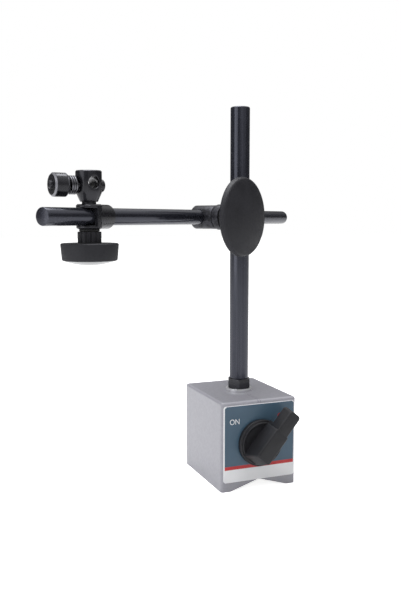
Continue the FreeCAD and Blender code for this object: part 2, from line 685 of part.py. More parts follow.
# --------------------------------------------------------- head of the holder
head_turn = FreeCAD.Placement(holder_turn.Base, FreeCAD.Rotation(z_axis, number("head_yaw")))
head = turned("head", [("0", "neck_top + 0.1"), ("neck_radius + 0.9", "neck_top + 0.1"),
                       ("head_radius", "head_cone + 0.6"), ("head_radius", "head_top - head_edge"),
                       ("head_radius - head_edge", "head_top"), ("0", "head_top")])
spigot_bore = rod("spigot_bore", "spigot_radius + turn_gap", "spigot_top", ("0", "0", "0.3"))
stem_bore = rod("stem_bore", "stem_radius", "40", ("0", "-20", "stem_height"), "+y")
stem_lead = doc.addObject("Part::Cone", "stem_lead")
bind(stem_lead, Radius1="stem_radius + 0.8", Radius2="stem_radius", Height="0.8")
place(stem_lead, ("0", "-head_radius - 0.3", "stem_height"), "+y")
draw_bore = rod("draw_bore", "draw_radius + turn_gap", "40", ("-20", "0", "draw_height"), "+x")
keep("holder_head", cut("head_cut", head, spigot_bore, stem_bore, stem_lead, draw_bore), head_turn)

drawbar = turned("drawbar", [("0", "-draw_button"), ("draw_radius - 0.5", "-draw_button"),
                             ("draw_radius", "-draw_button + 0.5"), ("draw_radius", "draw_shoulder"),
                             ("draw_thread", "draw_shoulder"), ("draw_thread", "draw_tip - 0.6"),
                             ("draw_thread - 0.6", "draw_tip"), ("0", "draw_tip")])
place(drawbar, ("0", "0", "draw_height"), "-x")
notch = rod("draw_notch", "stem_radius + 0.05", "40", ("0", "-20", "stem_height"), "+y")
keep("draw_bolt", cut("draw_cut", drawbar, notch), head_turn)

thumb = turned("thumb", [("draw_thread + turn_gap", "thumb_start"), ("thumb_radius - thumb_chamfer", "thumb_start"),
                         ("thumb_radius", "thumb_start + thumb_chamfer"),
                         ("thumb_radius", "thumb_end - thumb_chamfer"),
                         ("thumb_radius - thumb_chamfer", "thumb_end"),
                         ("draw_thread + turn_gap", "thumb_end")])
draw_place = FreeCAD.Placement(FreeCAD.Vector(0, 0, number("draw_height")), lie["-x"])
keep("thumb_nut", thumb, head_turn.multiply(draw_place))

coil_line = doc.addObject("Part::Helix", "coil_line")
bind(coil_line, Pitch="coil_pitch", Height="coil_length - 2 * coil_wire", Radius="coil_radius")
coil_line.setExpression("Placement.Base.z", formula("coil_start + coil_wire"))
wire_disc = doc.addObject("Part::Circle", "wire_disc")
bind(wire_disc, Radius="coil_wire")
wire_disc.Placement = FreeCAD.Placement(FreeCAD.Vector(), lie["-y"])
wire_disc.setExpression("Placement.Base.x", formula("coil_radius"))
wire_disc.setExpression("Placement.Base.z", formula("coil_start + coil_wire"))
coil = doc.addObject("Part::Sweep", "coil")
coil.Sections = [wire_disc]
coil.Spine = (coil_line, [])
coil.Solid = True
coil.Frenet = True
keep("holder_spring", coil, head_turn.multiply(draw_place))

# ------------------------------------------------------------ check and export
doc.recompute()
faults = []
for item in doc.Objects:
    if "Invalid" in item.State or "Error" in item.State:
        faults.append("%s %s" % (item.Name, item.State))
for node, item in nodes.items():
    if item.Shape.isNull() or not item.Shape.isValid() or item.Shape.Volume <= 0:
        faults.append("bad shape: " + node)
if faults:
    raise RuntimeError("; ".join(faults))
os.makedirs("parts", exist_ok=True)
for node, item in nodes.items():
    item.Shape.exportStep("parts/%s.step" % node)
    print("%-20s %9.1f mm3 %d solid(s)" % (node, item.Shape.Volume, len(item.Shape.Solids)))
print(len(nodes), "nodes")
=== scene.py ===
import json
import math
import bmesh
import bpy
from mathutils import Matrix, Vector


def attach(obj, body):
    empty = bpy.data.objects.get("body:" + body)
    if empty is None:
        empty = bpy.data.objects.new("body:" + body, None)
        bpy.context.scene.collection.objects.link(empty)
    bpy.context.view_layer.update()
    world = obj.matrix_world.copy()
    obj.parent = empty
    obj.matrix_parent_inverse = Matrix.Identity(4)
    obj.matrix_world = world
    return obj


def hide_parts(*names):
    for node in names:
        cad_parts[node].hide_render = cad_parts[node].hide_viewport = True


# Magnetic stand for a dial indicator. Meshes are drawn in millimetres in each
# part's own frame, then put in place in metres.

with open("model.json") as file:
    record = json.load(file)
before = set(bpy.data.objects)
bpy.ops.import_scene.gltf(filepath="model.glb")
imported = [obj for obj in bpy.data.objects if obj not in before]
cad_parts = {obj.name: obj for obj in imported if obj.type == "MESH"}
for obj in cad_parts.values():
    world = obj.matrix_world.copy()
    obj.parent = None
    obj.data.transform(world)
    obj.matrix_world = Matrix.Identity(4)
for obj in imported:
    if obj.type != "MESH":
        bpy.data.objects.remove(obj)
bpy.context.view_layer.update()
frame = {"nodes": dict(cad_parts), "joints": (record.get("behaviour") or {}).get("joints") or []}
scene = bpy.context.scene
nodes = frame["nodes"]
joints = {joint["name"]: joint for joint in frame["joints"]}
mm = 0.001
print("frame loaded:", len(nodes), "nodes")


def axes(origin, up, along):
    # millimetre frame with Z along up and X as near to along as it can be
    z = Vector(up).normalized()
    x = (Vector(along) - Vector(along).dot(z) * z).normalized()
    turn = Matrix((x, z.cross(x), z)).transposed().to_4x4()
    return Matrix.Translation(origin) @ turn @ Matrix.Scale(mm, 4)


def span(node, place):
    # lowest and highest corner of a CAD node in that frame, in millimetres
    back = place.inverted()
    spots = [back @ vertex.co for vertex in nodes[node].data.vertices]
    return (Vector([min(spot[i] for spot in spots) for i in range(3)]),
            Vector([max(spot[i] for spot in spots) for i in range(3)]))


armWay = Vector(joints["arm_slide"]["axis"])
boltSpot = Vector(joints["clamp_knob_turn"]["pos_m"])
holderSpot = Vector(joints["head_turn"]["pos_m"])
drawSpot = Vector(joints["thumb_nut_turn"]["pos_m"])
drawWay = Vector(joints["thumb_nut_turn"]["axis"])
switchSpot = Vector(joints["switch_turn"]["pos_m"])
standFrame = axes((0, 0, 0), (0, 0, 1), (1, 0, 0))
boltFrame = axes(boltSpot, joints["clamp_knob_turn"]["axis"], armWay)
armFrame = axes(joints["snug_turn"]["pos_m"], armWay, (0, 0, 1))
holderFrame = axes(holderSpot, (0, 0, 1), armWay)
drawFrame = axes(drawSpot, drawWay, (0, 0, 1))


# surface effects that several finishes share

def newGroup(name, inputs, outputs):
    tree = bpy.data.node_groups.new(name, "ShaderNodeTree")
    for label, kind, value in inputs:
        socket = tree.interface.new_socket(name=label, in_out="INPUT", socket_type=kind)
        if value is not None:
            socket.default_value = value
    for label, kind in outputs:
        tree.interface.new_socket(name=label, in_out="OUTPUT", socket_type=kind)
    return tree, tree.nodes.new("NodeGroupInput"), tree.nodes.new("NodeGroupOutput")


def addNode(tree, kind, settings=None, values=None):
    node = tree.nodes.new(kind)
    for key, value in (settings or {}).items():
        setattr(node, key, value)
    for key, value in (values or {}).items():
        node.inputs[key].default_value = value
    return node


def calc(tree, operation, first, second=None, clamp=False):
    node = addNode(tree, "ShaderNodeMath", {"operation": operation, "use_clamp": clamp})
    for i, value in enumerate((first, second)):
        if value is None:
            continue
        if isinstance(value, (int, float)):
            node.inputs[i].default_value = value
        else:
            tree.links.new(value, node.inputs[i])
    return node.outputs[0]


def ranged(tree, value, low, high, toLow=0.0, toHigh=1.0):
    node = addNode(tree, "ShaderNodeMapRange", {"interpolation_type": "SMOOTHSTEP"},
                   {"From Min": low, "From Max": high, "To Min": toLow, "To Max": toHigh})
    tree.links.new(value, node.inputs["Value"])
    return node.outputs["Result"]


def grainGroup():
    # fine grain height, and a slow blotchy tone
    tree, inlet, outlet = newGroup(
        "fineGrain",
        [("Vector", "NodeSocketVector", None), ("Scale", "NodeSocketFloat", 2000.0),
         ("Blotch Scale", "NodeSocketFloat", 90.0)],
        [("Height", "NodeSocketFloat"), ("Tone", "NodeSocketFloat")])
    fine = addNode(tree, "ShaderNodeTexNoise", {}, {"Detail": 3.0, "Roughness": 0.6})
    slow = addNode(tree, "ShaderNodeTexNoise", {}, {"Detail": 4.0, "Roughness": 0.55})
    tree.links.new(inlet.outputs["Vector"], fine.inputs["Vector"])
    tree.links.new(inlet.outputs["Scale"], fine.inputs["Scale"])
    tree.links.new(inlet.outputs["Vector"], slow.inputs["Vector"])
    tree.links.new(inlet.outputs["Blotch Scale"], slow.inputs["Scale"])
    tree.links.new(fine.outputs["Fac"], outlet.inputs["Height"])
    tree.links.new(ranged(tree, slow.outputs["Fac"], 0.3, 0.7), outlet.inputs["Tone"])
    return tree


def lineGroup():
    # marks left by turning, drawing or grinding: Stretch squeezes the noise along each axis
    tree, inlet, outlet = newGroup(
        "toolLines",
        [("Vector", "NodeSocketVector", None), ("Stretch", "NodeSocketVector", (1.0, 1.0, 1.0))],
        [("Height", "NodeSocketFloat"), ("Tone", "NodeSocketFloat")])
    squeeze = addNode(tree, "ShaderNodeVectorMath", {"operation": "MULTIPLY"})
    tree.links.new(inlet.outputs["Vector"], squeeze.inputs[0])
    tree.links.new(inlet.outputs["Stretch"], squeeze.inputs[1])
    lines = addNode(tree, "ShaderNodeTexNoise", {}, {"Scale": 1.0, "Detail": 3.0, "Roughness": 0.65})
    tree.links.new(squeeze.outputs["Vector"], lines.inputs["Vector"])
    tree.links.new(lines.outputs["Fac"], outlet.inputs["Height"])
    tree.links.new(ranged(tree, lines.outputs["Fac"], 0.35, 0.65), outlet.inputs["Tone"])
    return tree


def wearAndShadeGroup():
    # outside edges, broken up by noise: rubbed wear on most finishes, painted shade on the lacquer's edges
    tree, inlet, outlet = newGroup(
        "edgeWearAndShade",
        [("Vector", "NodeSocketVector", None), ("Radius", "NodeSocketFloat", 0.0004),
         ("Reach", "NodeSocketFloat", 0.1)],
        [("Mask", "NodeSocketFloat")])
    rounding = addNode(tree, "ShaderNodeBevel", {"samples": 6})
    tree.links.new(inlet.outputs["Radius"], rounding.inputs["Radius"])
    surfaceData = addNode(tree, "ShaderNodeNewGeometry")
    facing = addNode(tree, "ShaderNodeVectorMath", {"operation": "DOT_PRODUCT"})
    tree.links.new(rounding.outputs["Normal"], facing.inputs[0])
    tree.links.new(surfaceData.outputs["Normal"], facing.inputs[1])
    bend = calc(tree, "SUBTRACT", 1.0, facing.outputs["Value"])
    patches = addNode(tree, "ShaderNodeTexNoise", {}, {"Scale": 420.0, "Detail": 4.0})
    tree.links.new(inlet.outputs["Vector"], patches.inputs["Vector"])
    edge = calc(tree, "DIVIDE", bend, inlet.outputs["Reach"], True)
    broken = calc(tree, "MULTIPLY", edge, ranged(tree, patches.outputs["Fac"], 0.35, 0.6), True)
    tree.links.new(broken, outlet.inputs["Mask"])
    return tree


def dustGroup():
    # a thin film on faces that look up
    tree, inlet, outlet = newGroup(
        "dustFilm", [("Vector", "NodeSocketVector", None)], [("Mask", "NodeSocketFloat")])
    spot = addNode(tree, "ShaderNodeTexCoord")
    split = addNode(tree, "ShaderNodeSeparateXYZ")
    tree.links.new(spot.outputs["Normal"], split.inputs[0])
    specks = addNode(tree, "ShaderNodeTexNoise", {}, {"Scale": 700.0, "Detail": 5.0, "Roughness": 0.7})
    tree.links.new(inlet.outputs["Vector"], specks.inputs["Vector"])
    film = calc(tree, "MULTIPLY", ranged(tree, split.outputs["Z"], 0.2, 1.0),
                ranged(tree, specks.outputs["Fac"], 0.38, 0.66), True)
    tree.links.new(film, outlet.inputs["Mask"])
    return tree


effects = {"grain": grainGroup(), "lines": lineGroup(), "wearAndShade": wearAndShadeGroup(), "dust": dustGroup()}


def addEffect(tree, name, vector, values=None):
    node = addNode(tree, "ShaderNodeGroup", {"node_tree": effects[name]}, values)
    tree.links.new(vector, node.inputs["Vector"])
    return node


def blend(tree, first, second, factor):
    node = addNode(tree, "ShaderNodeMix", {"data_type": "RGBA"})
    for index, value in ((6, first), (7, second)):
        if isinstance(value, tuple):
            node.inputs[index].default_value = (*value, 1.0)
        else:
            tree.links.new(value, node.inputs[index])
    if isinstance(factor, (int, float)):
        node.inputs[0].default_value = factor
    else:
        tree.links.new(factor, node.inputs[0])
    return node.outputs[2]


lineDepth = 0.00002


def finish(name, spec, place=None):
    # colour: base, blotchy tone, tool lines, edges (rubbed wear, and painted shade on the lacquer), dust;
    # bump: grain and lines
    material = bpy.data.materials.new(name)
    material.use_nodes = True
    material.diffuse_color = (*spec["colour"], 1.0)
    tree = material.node_tree
    shader = tree.nodes["Principled BSDF"]
    shader.inputs["Metallic"].default_value = spec.get("metallic", 0.0)
    shader.inputs["Coat Weight"].default_value = spec.get("coat", 0.0)
    shader.inputs["Coat Roughness"].default_value = spec.get("coatRoughness", 0.15)
    shader.inputs["Specular IOR Level"].default_value = spec.get("specular", 0.5)
    coords = addNode(tree, "ShaderNodeTexCoord")
    mapping = addNode(tree, "ShaderNodeMapping")
    tree.links.new(coords.outputs["Object"], mapping.inputs["Vector"])
    if place is not None:
        turn = place.to_quaternion().inverted()
        mapping.inputs["Rotation"].default_value = turn.to_euler()
        mapping.inputs["Location"].default_value = -(turn @ place.to_translation())
    vector = mapping.outputs["Vector"]
    grain = addEffect(tree, "grain", vector, {"Scale": spec.get("grainScale", 2500.0),
                                              "Blotch Scale": spec.get("blotchScale", 90.0)})
    lines = addEffect(tree, "lines", vector, {"Stretch": spec.get("stretch", (300.0, 300.0, 300.0))})
    wearAndShade = addEffect(tree, "wearAndShade", vector, {"Radius": spec.get("wearAndShadeRadius", 0.0004)})
    dust = addEffect(tree, "dust", vector)
    colour = blend(tree, spec["colour"], spec.get("tone", spec["colour"]), grain.outputs["Tone"])
    lineShare = calc(tree, "MULTIPLY", lines.outputs["Tone"], spec.get("lineTint", 0.0))
    colour = blend(tree, colour, spec.get("lineColour", spec["colour"]), lineShare)
    # edge colour: rubbed wear, and on the lacquer a dark edge colour that is painted shade
    wearAndShadeShare = calc(tree, "MULTIPLY", wearAndShade.outputs["Mask"], spec.get("wearAndShade", 0.0))
    colour = blend(tree, colour, spec.get("wearAndShadeColour", (0.4, 0.4, 0.42)), wearAndShadeShare)
    dustShare = calc(tree, "MULTIPLY", dust.outputs["Mask"], spec.get("dust", 0.0))
    colour = blend(tree, colour, (0.55, 0.54, 0.52), dustShare)
    rough = calc(tree, "MULTIPLY_ADD", grain.outputs["Tone"], spec.get("roughSwing", 0.08))
    rough.node.inputs[2].default_value = spec["roughness"]
    rough = calc(tree, "ADD", rough, calc(tree, "MULTIPLY", dustShare, 0.5), True)
    tree.links.new(rough, shader.inputs["Roughness"])
    fine = addNode(tree, "ShaderNodeBump", {}, {"Strength": spec.get("grainStrength", 0.3),
                                                "Distance": spec.get("grainDepth", 0.00003)})
    tree.links.new(grain.outputs["Height"], fine.inputs["Height"])
    coarse = addNode(tree, "ShaderNodeBump", {}, {"Strength": spec.get("lineStrength", 0.0),
                                                  "Distance": lineDepth})
    tree.links.new(lines.outputs["Height"], coarse.inputs["Height"])
    tree.links.new(fine.outputs["Normal"], coarse.inputs["Normal"])
    tree.links.new(coarse.outputs["Normal"], shader.inputs["Normal"])
    if "bare" in spec:
        # ground metal where the face looks down
        split = addNode(tree, "ShaderNodeSeparateXYZ")
        tree.links.new(coords.outputs["Normal"], split.inputs[0])
        under = ranged(tree, split.outputs["Z"], -0.55, -0.45, 1.0, 0.0)
        ground = blend(tree, spec["bare"], spec["bareLine"], lines.outputs["Tone"])
        colour = blend(tree, colour, ground, under)
        tree.links.new(under, shader.inputs["Metallic"])
    tree.links.new(colour, shader.inputs["Base Color"])
    return material


# colours are linear; tone is the second colour of the slow blotches

finishes = {
    # the lacquer's dark edge colour is painted shade along the block's edges
    "lacquer": {"colour": (0.375, 0.37, 0.41), "tone": (0.345, 0.34, 0.378), "roughness": 0.36,
                "roughSwing": 0.06, "grainScale": 1900.0, "grainStrength": 0.28,
                "grainDepth": 0.00005, "blotchScale": 700.0, "coat": 0.8, "coatRoughness": 0.12,
                "wearAndShade": 0.8, "wearAndShadeColour": (0.13, 0.13, 0.16), "wearAndShadeRadius": 0.0009, "dust": 0.06,
                "stretch": (60.0, 1500.0, 1500.0), "bare": (0.5, 0.49, 0.48),
                "bareLine": (0.38, 0.38, 0.38)},
    "brassStrip": {"colour": (0.56, 0.41, 0.16), "tone": (0.46, 0.33, 0.13), "metallic": 1.0,
                   "roughness": 0.3, "lineStrength": 0.3, "stretch": (2500.0, 50.0, 2500.0)},
    "rearCover": {"colour": (0.42, 0.43, 0.45), "tone": (0.36, 0.37, 0.39), "metallic": 0.9,
                  "roughness": 0.34, "lineStrength": 0.35, "stretch": (40.0, 2200.0, 2200.0),
                  "lineTint": 0.3, "lineColour": (0.55, 0.56, 0.58), "dust": 0.1},
    "zincBright": {"colour": (0.78, 0.78, 0.79), "tone": (0.68, 0.68, 0.7), "metallic": 0.55,
                   "roughness": 0.3, "grainStrength": 0.12, "wearAndShade": 0.3, "wearAndShadeColour": (0.85, 0.85, 0.85)},
    "springSteel": {"colour": (0.2, 0.2, 0.215), "tone": (0.12, 0.12, 0.13), "metallic": 1.0,
                    "roughness": 0.24, "grainStrength": 0.15},
    "rotorSteel": {"colour": (0.45, 0.45, 0.46), "tone": (0.36, 0.36, 0.37), "metallic": 1.0,
                   "roughness": 0.32, "lineStrength": 0.3, "stretch": (1500.0, 60.0, 1500.0)},
    "ferrite": {"colour": (0.055, 0.055, 0.06), "tone": (0.035, 0.035, 0.038), "roughness": 0.75,
                "grainStrength": 0.6, "grainDepth": 0.0001, "grainScale": 1200.0},
    "switchPlastic": {"colour": (0.011, 0.011, 0.013), "tone": (0.015, 0.015, 0.018),
                      "roughness": 0.36, "grainScale": 2600.0, "grainStrength": 0.3,
                      "grainDepth": 0.00004, "wearAndShade": 0.5, "wearAndShadeColour": (0.06, 0.06, 0.065),
                      "dust": 0.01, "specular": 0.45},
    "gripPlastic": {"colour": (0.011, 0.011, 0.015), "tone": (0.017, 0.017, 0.022),
                    "roughness": 0.48, "roughSwing": 0.14, "grainScale": 1300.0,
                    "grainStrength": 0.7, "grainDepth": 0.0001, "wearAndShade": 0.35,
                    "wearAndShadeColour": (0.07, 0.07, 0.08), "dust": 0.02, "specular": 0.45},
    "capDome": {"colour": (0.02, 0.02, 0.024), "tone": (0.026, 0.026, 0.03), "roughness": 0.16,
                "coat": 1.0, "coatRoughness": 0.1, "grainStrength": 0.1, "specular": 0.8},
    "blackOxide": {"colour": (0.036, 0.038, 0.052), "tone": (0.044, 0.046, 0.062), "metallic": 0.7,
                   "roughness": 0.2, "roughSwing": 0.08, "grainStrength": 0.04,
                   "stretch": (900.0, 900.0, 6.0), "lineStrength": 0.12, "lineTint": 0.6,
                   "lineColour": (0.075, 0.078, 0.1), "wearAndShade": 0.5, "wearAndShadeColour": (0.2, 0.2, 0.22),
                   "coat": 0.4, "coatRoughness": 0.08},
    "satinBlack": {"colour": (0.016, 0.016, 0.02), "tone": (0.026, 0.026, 0.032), "metallic": 0.5,
                   "roughness": 0.2, "roughSwing": 0.12, "grainScale": 1600.0,
                   "grainStrength": 0.2, "wearAndShade": 0.7, "wearAndShadeColour": (0.14, 0.14, 0.16),
                   "dust": 0.01, "coat": 0.35, "coatRoughness": 0.1},
    # a lighter metal for the thumb nut's outer chamfer: a painted highlight
    "paintedRimHighlight": {"colour": (0.3, 0.3, 0.32), "tone": (0.22, 0.22, 0.24), "metallic": 0.8,
               "roughness": 0.3, "grainStrength": 0.15},
    "greySteel": {"colour": (0.045, 0.045, 0.055), "tone": (0.012, 0.012, 0.015), "metallic": 0.5,
                  "roughness": 0.28, "roughSwing": 0.15, "grainScale": 900.0, "grainStrength": 0.5,
                  "grainDepth": 0.00008, "blotchScale": 420.0, "wearAndShade": 0.7,
                  "wearAndShadeColour": (0.2, 0.2, 0.22), "lineStrength": 0.2,
                  "stretch": (60.0, 60.0, 2200.0)},
    "dullBlack": {"colour": (0.008, 0.008, 0.008), "tone": (0.013, 0.013, 0.013), "roughness": 0.6,
                  "grainStrength": 0.3},
    "printBlue": {"colour": (0.066, 0.125, 0.182), "tone": (0.06, 0.114, 0.168), "roughness": 0.36,
                  "grainScale": 3500.0, "grainStrength": 0.12, "blotchScale": 60.0, "coat": 0.2},
    "printWhite": {"colour": (0.93, 0.93, 0.94), "tone": (0.89, 0.89, 0.9), "roughness": 0.36,
                   "grainScale": 3500.0, "grainStrength": 0.1, "coat": 0.2},
    "printRed": {"colour": (0.58, 0.022, 0.026), "tone": (0.5, 0.018, 0.02), "roughness": 0.36,
                 "grainScale": 3500.0, "grainStrength": 0.1, "coat": 0.2},
}
looks = {name: finish(name, spec) for name, spec in finishes.items()}
looks["postOxide"] = finish("postOxide", finishes["blackOxide"], standFrame)
looks["armOxide"] = finish("armOxide", finishes["blackOxide"], armFrame)
looks["sleeveSteel"] = finish("sleeveSteel", finishes["greySteel"], boltFrame)
print("finishes made:", len(looks))


def smoothPiece(name, shape, place, materials, body, stands=(), angle=34):
    # close, turn the faces outwards, put in place and hand over to the body
    bmesh.ops.remove_doubles(shape, verts=shape.verts, dist=0.0005)
    bmesh.ops.recalc_face_normals(shape, faces=shape.faces)
    bmesh.ops.transform(shape, matrix=place, verts=shape.verts)
    for face in shape.faces:
        face.smooth = True
    mesh = bpy.data.meshes.new(name)
    shape.to_mesh(mesh)
    shape.free()
    mesh.set_sharp_from_angle(angle=math.radians(angle))
    for material in materials:
        mesh.materials.append(looks[material])
    piece = bpy.data.objects.new(name, mesh)
    scene.collection.objects.link(piece)
    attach(piece, body)
    if stands:
        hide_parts(*stands)
    return piece


def lathe(profile, steps=96, closed=False, cuts=None):
    # (radius, height, rounding) corners, rounded and spun about Z
    shape = bmesh.new()
    corners = [shape.verts.new((radius, 0, height)) for radius, height, rounding in profile]
    follow = corners[1:] + corners[:1] if closed else corners[1:]
    for pair in zip(corners, follow):
        shape.edges.new(pair)
    for size in sorted({rounding for radius, height, rounding in profile if rounding}):
        picked = [corner for corner, spot in zip(corners, profile) if spot[2] == size]
        bmesh.ops.bevel(shape, geom=picked, offset=size, offset_type="OFFSET", segments=4,
                        profile=0.5, affect="VERTICES", material=-1)
    for index, count in (cuts or {}).items():
        middle = (Vector(profile[index][:2]) + Vector(profile[index + 1][:2])) / 2
        longest = min(shape.edges, key=lambda edge: (Vector(
            (edge.verts[0].co.x + edge.verts[1].co.x, edge.verts[0].co.z + edge.verts[1].co.z)) / 2
            - middle).length)
        bmesh.ops.subdivide_edges(shape, edges=[longest], cuts=count)
    bmesh.ops.spin(shape, geom=shape.verts[:] + shape.edges[:], cent=(0, 0, 0), axis=(0, 0, 1),
                   dvec=(0, 0, 0), angle=2 * math.pi, steps=steps, use_merge=True)
    bmesh.ops.remove_doubles(shape, verts=shape.verts, dist=0.0005)
    return shape


def addShape(target, source):
    # put one shape's faces into another
    carrier = bpy.data.meshes.new("carrier")
    source.to_mesh(carrier)
    source.free()
    target.from_mesh(carrier)
    bpy.data.meshes.remove(carrier)
    return target


def softenedCopy(node, place, width, segments=2, angle=32):
    # the CAD shape in its own frame, with its crisp edges rounded
    shape = bmesh.new()
    shape.from_mesh(nodes[node].data)
    bmesh.ops.transform(shape, matrix=place.inverted(), verts=shape.verts)
    bmesh.ops.remove_doubles(shape, verts=shape.verts, dist=0.002)
    bmesh.ops.dissolve_limit(shape, angle_limit=math.radians(0.5), verts=shape.verts,
                             edges=shape.edges, use_dissolve_boundaries=False, delimit=set())
    crisp = [edge for edge in shape.edges
             if len(edge.link_faces) == 2 and edge.calc_face_angle() > math.radians(angle)]
    bmesh.ops.bevel(shape, geom=crisp, offset=width, offset_type="OFFSET", segments=segments,
                    profile=0.5, affect="EDGES", clamp_overlap=True, material=-1)
    return shape


def paintNode(node, look):
    mesh = nodes[node].data
    mesh.materials.clear()
    mesh.materials.append(looks[look])


# magnet block, kept as built, with its finishes
for node in ("pole_block_left", "pole_block_right"):
    paintNode(node, "lacquer")
paintNode("separator_top", "lacquer")
paintNode("separator_bottom", "brassStrip")
for node in ("front_bush", "rear_bush"):
    paintNode(node, "brassStrip")
paintNode("rear_cover", "rearCover")
for node in ("rear_cover_screws", "stop_pin"):
    paintNode(node, "zincBright")
for node in ("rotor_pole_upper", "rotor_pole_lower", "drive_shaft", "tail_shaft"):
    paintNode(node, "rotorSteel")
paintNode("rotor_magnet", "ferrite")
print("magnet block painted")

# band and stripe are the heights where the white ends and where the red ends
label = {"corner": 1.6, "edge": 0.12, "border": 0.5, "sunk": 0.02, "band": 13.7, "stripe": 15.8,
         "smallestField": 20, "letterThick": 0.02, "letterLift": 0.005}


def makeLabel():
    low, high = span("label_plate", standFrame)
    middle = (low + high) / 2
    size = high - low
    shape = bmesh.new()
    bmesh.ops.create_cube(shape, size=1, matrix=Matrix.Translation(middle) @ Matrix.Diagonal((*size, 1)))
    corners = [edge for edge in shape.edges
               if abs(edge.verts[0].co.y - edge.verts[1].co.y) > size.y / 2]
    bmesh.ops.bevel(shape, geom=corners, offset=label["corner"], offset_type="OFFSET", segments=8,
                    profile=0.5, affect="EDGES", material=-1)
    front = [face for face in shape.faces if face.normal.y < -0.9]
    bmesh.ops.bevel(shape, geom=front[0].edges[:], offset=label["edge"], offset_type="OFFSET",
                    segments=2, profile=0.5, affect="EDGES", material=-1)
    front = max((face for face in shape.faces if face.normal.y < -0.9), key=lambda face: face.calc_area())
    bmesh.ops.inset_region(shape, faces=[front], thickness=label["border"], depth=-label["sunk"],
                           use_even_offset=True)
    for height in (label["band"], label["stripe"]):
        faces = [face for face in shape.faces
                 if face.normal.y < -0.9 and abs(face.calc_center_median().y - low.y) < 0.03
                 and face.calc_area() > label["smallestField"]]
        around = {edge for face in faces for edge in face.edges}
        spots = {vertex for face in faces for vertex in face.verts}
        bmesh.ops.bisect_plane(shape, geom=faces + list(around) + list(spots), dist=0.0001,
                               plane_co=(0, 0, height), plane_no=(0, 0, 1))
    for face in shape.faces:
        face.material_index = 0
        if face.normal.y < -0.9 and face.calc_area() > label["smallestField"]:
            height = face.calc_center_median().z
            face.material_index = 0 if height < label["band"] else 1 if height < label["stripe"] else 2
    return smoothPiece("frontLabel", shape, standFrame, ["printWhite", "printRed", "printBlue"],
                       "magnet_base", ["label_plate"])


makeLabel()

# lower left corner and size of each printed word
words = {"ON": {"left": -19.9, "low": 41.5, "width": 6.3, "height": 3.3, "look": "printWhite"},
         "OFF": {"left": 12.0, "low": 42.6, "width": 8.2, "height": 3.3, "look": "printRed"}}
for word, spec in words.items():
    text = bpy.data.curves.new("letters", "FONT")
    text.body = word
    text.extrude = label["letterThick"]
    carrier = bpy.data.objects.new("letters", text)
    scene.collection.objects.link(carrier)
    letters = bpy.data.meshes.new_from_object(carrier)
    bpy.data.objects.remove(carrier)
    shape = bmesh.new()
    shape.from_mesh(letters)
    low = Vector([min(vertex.co[i] for vertex in shape.verts) for i in range(3)])
    high = Vector([max(vertex.co[i] for vertex in shape.verts) for i in range(3)])
    bmesh.ops.translate(shape, vec=(-low.x, -low.y, 0), verts=shape.verts)
    bmesh.ops.scale(shape, vec=(spec["width"] / (high.x - low.x), spec["height"] / (high.y - low.y), 1),
                    verts=shape.verts)
    bmesh.ops.rotate(shape, cent=(0, 0, 0), matrix=Matrix.Rotation(math.radians(90), 3, "X"),
                     verts=shape.verts)
    face = span("label_plate", standFrame)[0].y + label["letterLift"]
    bmesh.ops.translate(shape, vec=(spec["left"], face, spec["low"]), verts=shape.verts)
    smoothPiece("word" + word.title(), shape, standFrame, [spec["look"]], "magnet_base")
print("label made")

knob = {"skirtThick": 2.6, "crown": 13.1, "crownThick": 1.6, "lip": 0.9, "slope": 0.6, "dish": 0.5,
        "topEdge": 1.0}
# the lever is three drafted bars: ends at the foot and at the top, half widths, lowest level,
# drop of the top, and rounding of the upright edges
leverBars = {
    "hub": {"foot": (-12.6, 12.0), "top": (-8.2, 11.4), "footHalf": 6.0, "topHalf": 5.0,
            "bottom": 2.6, "drop": 0.0, "round": 1.1},
    "root": {"foot": (4.0, 14.3), "top": (4.0, 14.2), "footHalf": 4.7, "topHalf": 4.1,
             "bottom": 2.6, "drop": 1.2, "round": 0.6},
    "tip": {"foot": (-1.0, 26.2), "top": (-1.0, 25.4), "footHalf": 4.5, "topHalf": 4.1,
            "bottom": 6.8, "drop": 0.06, "round": 1.9}}


def makeSwitchKnob():
    ends = [vertex.co - switchSpot for vertex in nodes["switch_knob"].data.vertices]
    far = [Vector((end.x, 0, end.z)) for end in ends if math.hypot(end.x, end.z) > 0.02]
    lever = sum(far, Vector()).normalized()
    back = max(end.y for end in ends)
    place = axes(switchSpot + Vector((0, back, 0)), (0, -1, 0), lever)
    low, high = span("switch_knob", place)
    top = knob["skirtThick"] + knob["crownThick"]
    skirt = -low.y
    inner = knob["crown"] - knob["lip"]
    shape = lathe([(0, 0, 0), (skirt, 0, 0), (skirt, knob["skirtThick"], 0.6),
                   (knob["crown"], knob["skirtThick"], 0.2), (knob["crown"], top, 0.4),
                   (inner, top, 0.3), (inner - knob["slope"], top - knob["dish"], 0.3),
                   (0, top - knob["dish"], 0)])
    for spec in leverBars.values():
        bar = bmesh.new()
        bmesh.ops.create_cube(bar, size=2)
        for vertex in bar.verts:
            end = 0 if vertex.co.x < 0 else 1
            upper = vertex.co.z > 0
            half = spec["topHalf"] if upper else spec["footHalf"]
            vertex.co = ((spec["top"] if upper else spec["foot"])[end],
                         math.copysign(half, vertex.co.y),
                         high.z - spec["drop"] if upper else spec["bottom"])
        upright = [line for line in bar.edges if abs(line.verts[0].co.z - line.verts[1].co.z) > 1]
        bmesh.ops.bevel(bar, geom=upright, offset=spec["round"], offset_type="OFFSET", segments=4,
                        profile=0.5, affect="EDGES", material=-1)
        lid = max(bar.faces, key=lambda face: face.calc_center_median().z)
        bmesh.ops.bevel(bar, geom=lid.edges[:], offset=knob["topEdge"], offset_type="OFFSET",
                        segments=4, profile=0.5, affect="EDGES", material=-1)
        addShape(shape, bar)
    return smoothPiece("switchKnob", shape, place, ["switchPlastic"], "switch",
                       ["switch_knob"])


makeSwitchKnob()
paintNode("knob_grub_screw", "satinBlack")
print("switch knob made")

